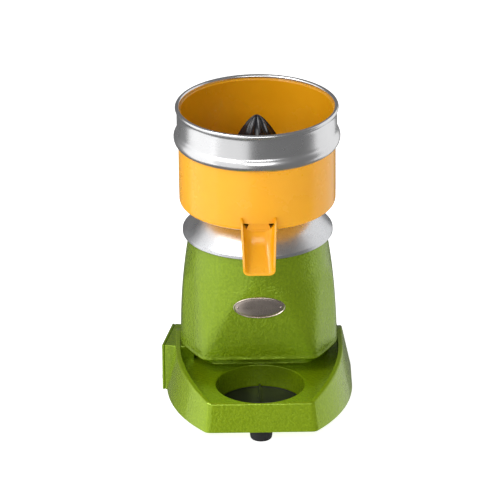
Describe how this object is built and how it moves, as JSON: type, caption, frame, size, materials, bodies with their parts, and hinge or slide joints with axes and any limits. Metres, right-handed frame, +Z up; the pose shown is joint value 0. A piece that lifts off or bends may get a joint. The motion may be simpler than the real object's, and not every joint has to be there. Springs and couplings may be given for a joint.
{
  "type": "citrus juicer",
  "caption": "Bench-top electric citrus juicer: upright motor housing, round bowl with spout and ribbed reamer over a tray with a glass well.",
  "frame": {"origin": "on the spindle axis at bench level, in the plane of the feet's undersides", "axes": "+Z up along the spindle, -Y to the front (spout and tray), +X to the right seen from the front, switch on the -X side"},
  "size_m": [0.2188, 0.2885, 0.3398],
  "materials": {
    "green_enamel": "glossy fine hammer-texture enamel",
    "bright_steel": "machined steel",
    "black_rubber": "moulded rubber",
    "black_plastic": "moulded, satin",
    "lamination_steel": "stacked sheet steel, varnished",
    "cast_aluminium": "as cast",
    "badge_metal": "brushed, champagne tint",
    "polished_aluminium": "turned and polished",
    "polished_ring": "polished sheet",
    "copper_winding": "varnished copper wire",
    "capacitor_can": "drawn can",
    "white_plastic": "moulded",
    "brass_screw": "turned",
    "clear_rocker": "translucent pale grey",
    "orange_plastic": "glossy moulded plastic",
    "strainer_steel": "pressed sheet",
    "reamer_plastic": "glossy black moulding"
  },
  "bodies": {
    "base": {"base_casting": "green_enamel", "bottom_cover": "bright_steel", "bottom_cover_screws": "bright_steel", "front_foot": "black_rubber", "rear_left_foot": "black_rubber", "rear_right_foot": "black_rubber", "foot_screws": "bright_steel", "motor_housing": "green_enamel", "housing_bolts": "bright_steel", "badge": "badge_metal", "badge_rivets": "bright_steel", "top_plate": "polished_aluminium", "plate_screws": "bright_steel", "bowl_locating_pins": "bright_steel", "shaft_seal": "black_rubber", "stator_core": "lamination_steel", "stator_windings": "copper_winding", "upper_end_shield": "cast_aluminium", "lower_end_shield": "cast_aluminium", "motor_tie_bolts": "bright_steel", "motor_mount_bolts": "bright_steel", "upper_bearing": "bright_steel", "lower_bearing": "bright_steel", "run_capacitor": "capacitor_can", "capacitor_clip": "bright_steel", "terminal_block": "white_plastic", "earth_screw": "brass_screw", "switch_box": "green_enamel", "switch_gasket": "black_rubber", "switch_cover": "green_enamel", "switch_cover_screws": "bright_steel", "switch_body": "black_plastic", "cord_gland": "black_plastic", "gland_nut": "black_plastic"},
    "spindle": {"motor_shaft": "bright_steel", "rotor_core": "lamination_steel", "cooling_fan": "black_plastic", "drive_pin": "bright_steel"},
    "reamer": {"reamer": "reamer_plastic"},
    "bowl": {"bowl": "orange_plastic", "rim_ring": "polished_ring"},
    "strainer": {"strainer": "strainer_steel"},
    "drip_cup": {"drip_cup": "black_plastic"},
    "rocker": {"switch_rocker": "clear_rocker"}
  },
  "joints": [
    {"name": "spindle_turn", "type": "hinge", "parent": "base", "child": "spindle", "pos_m": [0, 0, 0.2], "axis": [0, 0, 1], "continuous": true},
    {"name": "bowl_lift", "type": "slide", "parent": "base", "child": "bowl", "axis": [0, 0, 1], "range_m": [0, 0.085]},
    {"name": "reamer_lift", "type": "slide", "parent": "spindle", "child": "reamer", "axis": [0, 0, 1], "range_m": [0, 0.136]},
    {"name": "strainer_lift", "type": "slide", "parent": "bowl", "child": "strainer", "axis": [0, 0, 1], "range_m": [0, 0.0255]},
    {"name": "cup_lift", "type": "slide", "parent": "base", "child": "drip_cup", "axis": [0, 0, 1], "range_m": [0, 0.036]},
    {"name": "switch_throw", "type": "hinge", "parent": "base", "child": "rocker", "pos_m": [-0.10469, -0.01903, 0.0315], "axis": [-0.2079, -0.9781, 0], "range_deg": [0, 32]}
  ],
  "couplings": [
    {"joint": "reamer_lift", "follows": "bowl_lift", "ratio": 1.6},
    {"joint": "strainer_lift", "follows": "bowl_lift", "ratio": 0.3}
  ]
}
